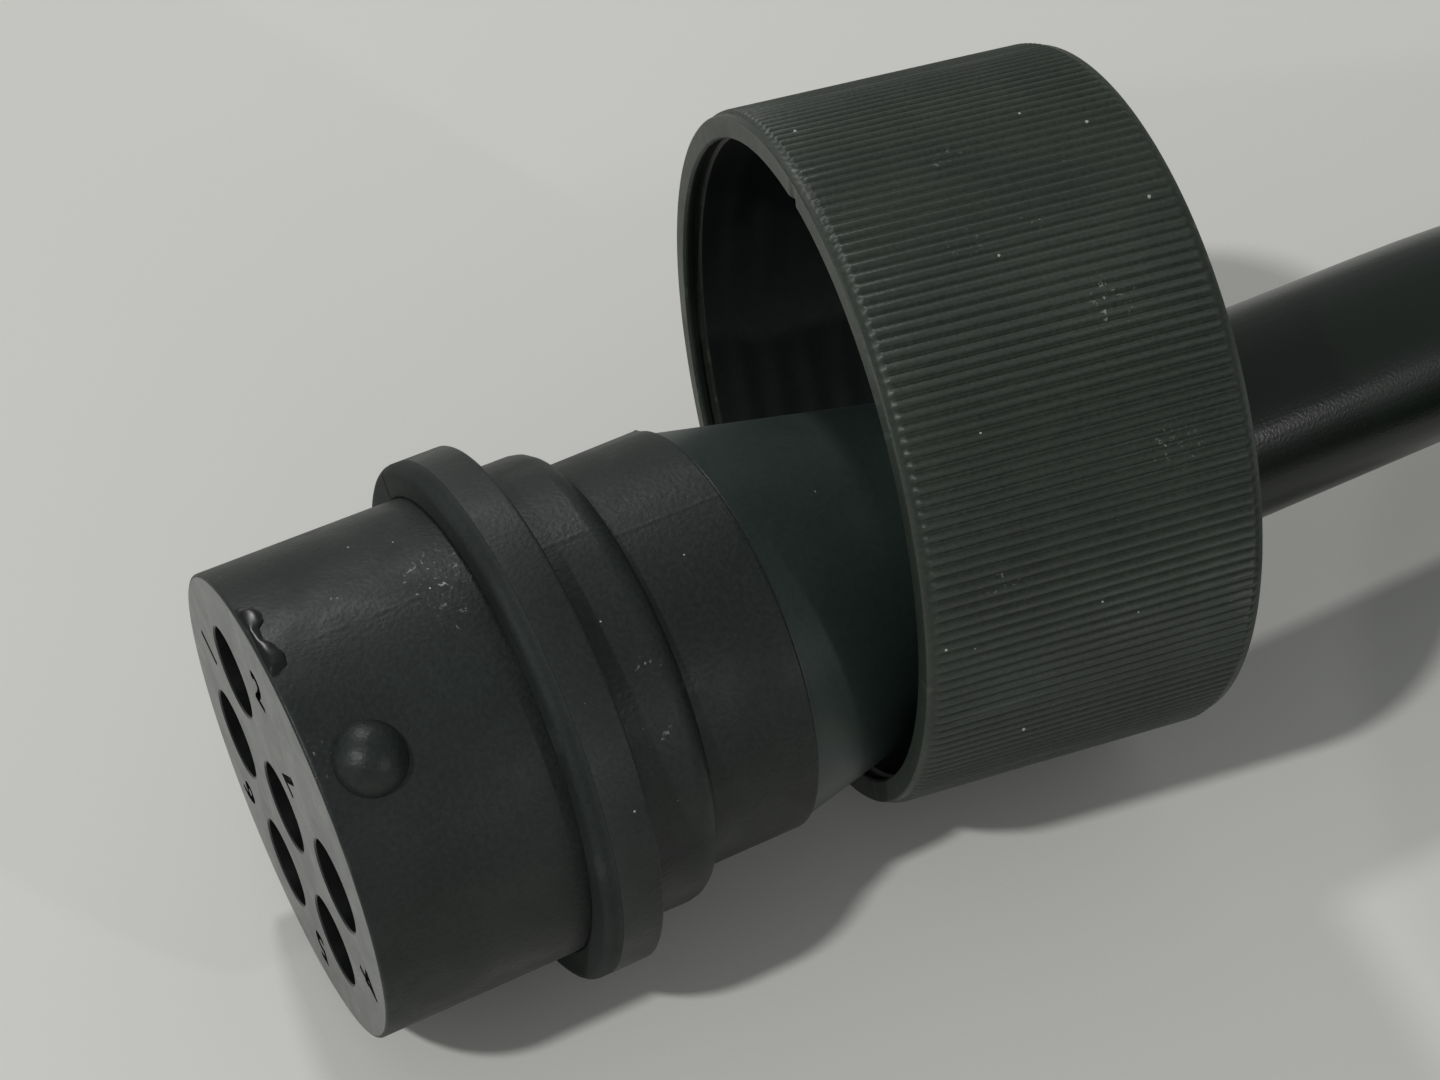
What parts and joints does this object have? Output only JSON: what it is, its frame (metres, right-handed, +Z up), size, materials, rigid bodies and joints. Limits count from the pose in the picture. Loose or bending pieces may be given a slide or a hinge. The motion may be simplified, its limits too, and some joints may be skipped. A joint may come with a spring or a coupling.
{
  "type": "solar cable connector",
  "caption": "Round multi-pole cable plug with a flange and seal, a tapered strain relief, a loose knurled coupling nut and a coiled cable with stripped cores.",
  "frame": {"origin": "middle of the plug and its nut, on the surface they lie on", "axes": "+X along the plug from its mating face towards the cable, +Z up, +Y across"},
  "size_m": [0.295, 0.2492, 0.0546],
  "materials": {
    "black_nylon": "moulded black glass-filled nylon, satin with a fine spark-eroded grain",
    "black_nylon_nut": "moulded black nylon, matte, finely ribbed",
    "seal_rubber": "matte black rubber",
    "natural_nylon": "natural nylon, satin",
    "washer_acetal": "turned black acetal, satin",
    "contact_brass": "turned brass",
    "cone_pvc": "smooth moulded black flexible plastic",
    "cable_rubber": "smooth extruded black rubber sheath, slightly glossy",
    "core_pvc": "smooth core insulation",
    "tinned_copper": "tinned copper, satin",
    "tie_fabric": "woven hook-and-loop strap"
  },
  "bodies": {
    "plug": {"plug_housing": "black_nylon", "flange_seal": "seal_rubber", "contact_retainer": "natural_nylon", "socket_contact_1": "contact_brass", "socket_contact_2": "contact_brass", "socket_contact_4": "contact_brass", "socket_contact_5": "contact_brass", "socket_contact_6": "contact_brass", "socket_contact_7": "contact_brass", "core_wire_1": "core_pvc", "core_wire_2": "core_pvc", "core_wire_4": "core_pvc", "core_wire_5": "core_pvc", "core_wire_6": "core_pvc", "core_wire_7": "core_pvc", "strain_relief": "cone_pvc", "cable_grip": "contact_brass", "cable_sheath_end": "cable_rubber", "cable_run": "cable_rubber", "cable_coil": "cable_rubber", "coil_tie_1": "tie_fabric", "coil_tie_2": "tie_fabric", "core_tail_1": "core_pvc", "core_tail_2": "core_pvc", "core_tail_4": "core_pvc", "core_tail_5": "core_pvc", "core_tail_6": "core_pvc", "core_tail_7": "core_pvc", "core_ferrule_1": "tinned_copper", "core_ferrule_2": "tinned_copper", "core_ferrule_4": "tinned_copper", "core_ferrule_5": "tinned_copper", "core_ferrule_6": "tinned_copper", "core_ferrule_7": "tinned_copper"},
    "slip_washer": {"slip_washer": "washer_acetal"},
    "coupling_nut": {"coupling_nut": "black_nylon_nut"}
  },
  "joints": [
    {"name": "nut_travel", "type": "hinge", "parent": "plug", "child": "slip_washer", "pos_m": [0.02806, -0.30447, 0.03388], "axis": [-0.1494, 0.0114, 0.9887], "range_deg": [0, 8.85]},
    {"name": "nut_spin", "type": "hinge", "parent": "slip_washer", "child": "coupling_nut", "pos_m": [0.0198, 0.00013, 0.0273], "axis": [0.9884, -0.1521, 0], "continuous": true}
  ]
}
